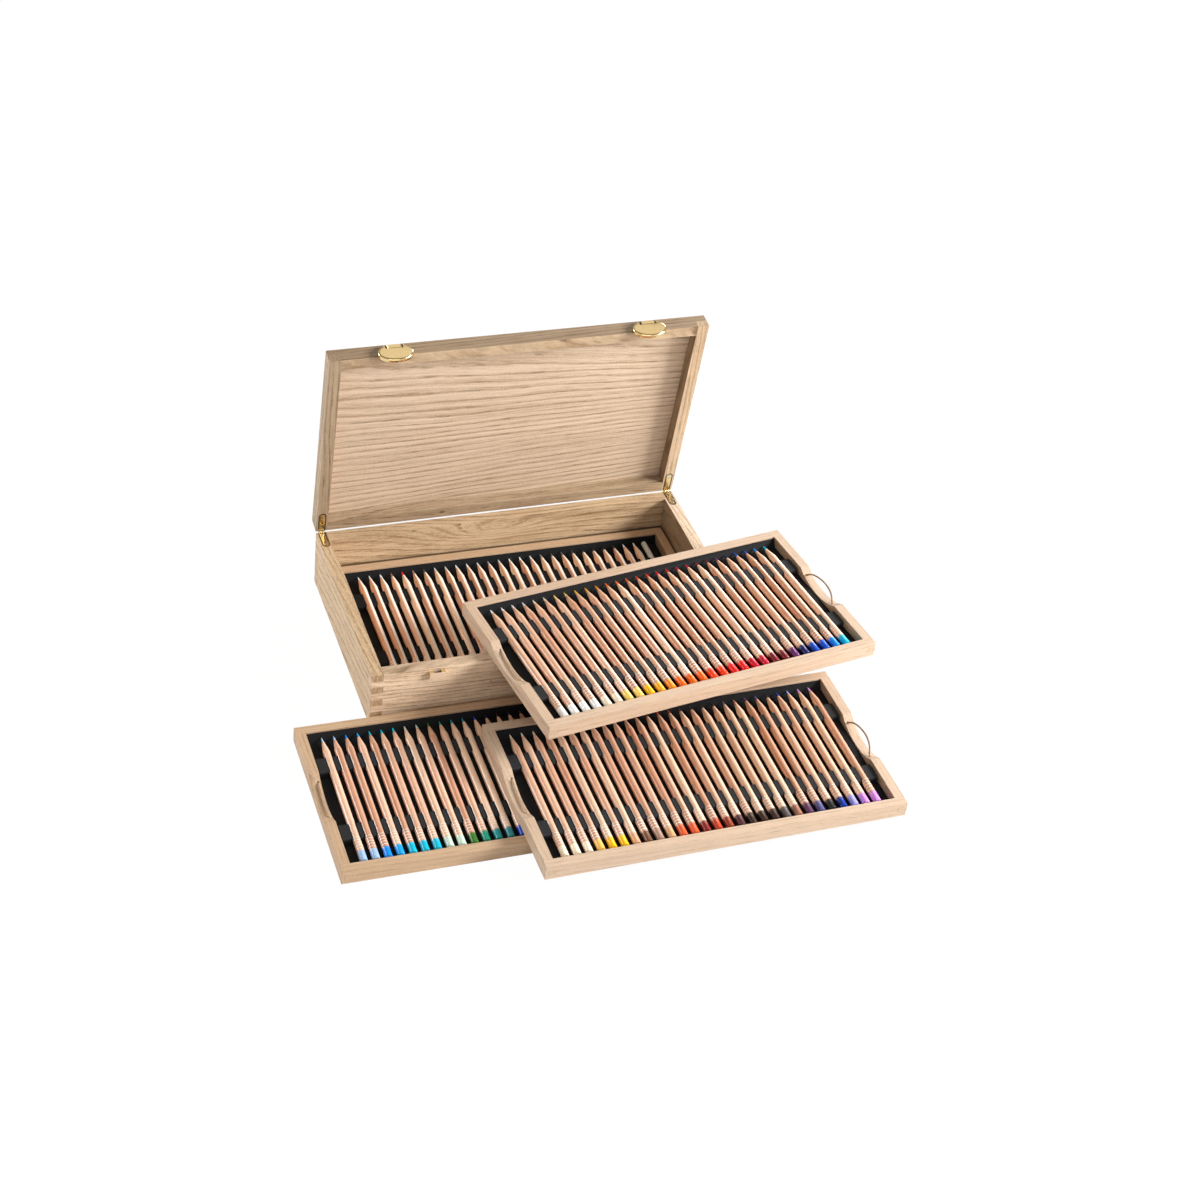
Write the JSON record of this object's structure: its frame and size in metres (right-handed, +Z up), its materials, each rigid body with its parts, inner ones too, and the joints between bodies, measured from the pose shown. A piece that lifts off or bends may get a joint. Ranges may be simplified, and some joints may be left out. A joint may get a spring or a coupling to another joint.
{
  "type": "pencil drawer box",
  "caption": "Finger-jointed wooden case with a hinged lid, two drop latches and stacking lift-out trays that hold rows of coloured pencils in black inserts.",
  "frame": {"origin": "centre of the case's underside", "axes": "+X along the case's front to the right, +Y towards the hinged back, +Z up"},
  "size_m": [0.6021, 0.5243, 0.3123],
  "materials": {
    "oak_case": "satin, open oak grain",
    "oak_lid": "satin, open oak grain",
    "oak_panel": "satin, open oak grain",
    "oak_tray_pale": "satin, open oak grain",
    "oak_tray_brown": "satin, open oak grain",
    "insert_black": "matte, moulded",
    "cedar": "satin, clear lacquer",
    "brass": "polished",
    "brass_screws": "polished",
    "pull_cord": "waxed",
    "blending_stick": "satin",
    "tray_1_caps": "glossy dip, one colour to a pencil",
    "tray_2_caps": "glossy dip, one colour to a pencil",
    "tray_3_caps": "glossy dip, one colour to a pencil",
    "tray_4_caps": "glossy dip, one colour to a pencil",
    "tray_1_leads": "matte pigment",
    "tray_2_leads": "matte pigment",
    "tray_3_leads": "matte pigment",
    "tray_4_leads": "matte pigment"
  },
  "bodies": {
    "case": {"case_front_wall": "oak_case", "case_back_wall": "oak_case", "case_left_wall": "oak_case", "case_right_wall": "oak_case", "case_floor": "oak_case", "case_hinge_screws": "brass_screws", "hinge_left_case_leaf": "brass", "hinge_left_pin": "brass", "hinge_right_case_leaf": "brass", "hinge_right_pin": "brass", "strike_left": "brass", "strike_right": "brass"},
    "lid": {"lid_front_rail": "oak_lid", "lid_back_rail": "oak_lid", "lid_left_rail": "oak_lid", "lid_right_rail": "oak_lid", "lid_panel": "oak_panel", "lid_hinge_screws": "brass_screws", "hinge_left_lid_leaf": "brass", "hinge_right_lid_leaf": "brass", "latch_left_base": "brass", "latch_left_pin": "brass", "latch_right_base": "brass", "latch_right_pin": "brass"},
    "latch_left": {"latch_left_lever": "brass"},
    "latch_right": {"latch_right_lever": "brass"},
    "tray_1": {"tray_1_long_rails": "oak_tray_pale", "tray_1_side_rails": "oak_tray_pale", "tray_1_floor": "oak_tray_pale", "tray_1_insert": "insert_black", "tray_1_pencil_barrels": "cedar", "tray_1_pencil_caps": "tray_1_caps", "tray_1_pencil_leads": "tray_1_leads", "tray_1_cord_pulls": "pull_cord"},
    "tray_2": {"tray_2_long_rails": "oak_tray_brown", "tray_2_side_rails": "oak_tray_brown", "tray_2_floor": "oak_tray_brown", "tray_2_insert": "insert_black", "tray_2_pencil_barrels": "cedar", "tray_2_pencil_caps": "tray_2_caps", "tray_2_pencil_leads": "tray_2_leads", "tray_2_cord_pulls": "pull_cord"},
    "tray_3": {"tray_3_long_rails": "oak_tray_pale", "tray_3_side_rails": "oak_tray_pale", "tray_3_floor": "oak_tray_pale", "tray_3_insert": "insert_black", "tray_3_pencil_barrels": "cedar", "tray_3_pencil_caps": "tray_3_caps", "tray_3_pencil_leads": "tray_3_leads", "tray_3_cord_pulls": "pull_cord"},
    "tray_4": {"tray_4_long_rails": "oak_tray_brown", "tray_4_side_rails": "oak_tray_brown", "tray_4_floor": "oak_tray_brown", "tray_4_insert": "insert_black", "tray_4_pencil_barrels": "cedar", "tray_4_pencil_caps": "tray_4_caps", "tray_4_pencil_leads": "tray_4_leads", "tray_4_cord_pulls": "pull_cord", "tray_4_blending_stick": "blending_stick"}
  },
  "joints": [
    {"name": "lid_hinge", "type": "hinge", "parent": "case", "child": "lid", "pos_m": [0, 0.1217, 0.065], "axis": [1, 0, 0], "range_deg": [-13, 73]},
    {"name": "latch_left_swing", "type": "hinge", "parent": "lid", "child": "latch_left", "pos_m": [-0.137, 0.09606, 0.30921], "axis": [-1, 0, 0], "range_deg": [0, 60]},
    {"name": "latch_right_swing", "type": "hinge", "parent": "lid", "child": "latch_right", "pos_m": [0.137, 0.09606, 0.30921], "axis": [-1, 0, 0], "range_deg": [0, 60]},
    {"name": "tray_1_lift", "type": "slide", "parent": "case", "child": "tray_1", "axis": [0, 0, 1], "range_m": [0, 0.15]},
    {"name": "tray_2_lift", "type": "slide", "parent": "case", "child": "tray_2", "axis": [0, 0, 1], "range_m": [0, 0.025]},
    {"name": "tray_3_lift", "type": "slide", "parent": "tray_2", "child": "tray_3", "axis": [0, 0, 1], "range_m": [0, 0.025]},
    {"name": "tray_4_lift", "type": "slide", "parent": "case", "child": "tray_4", "axis": [0, 0, 1], "range_m": [0, 0.034]}
  ]
}
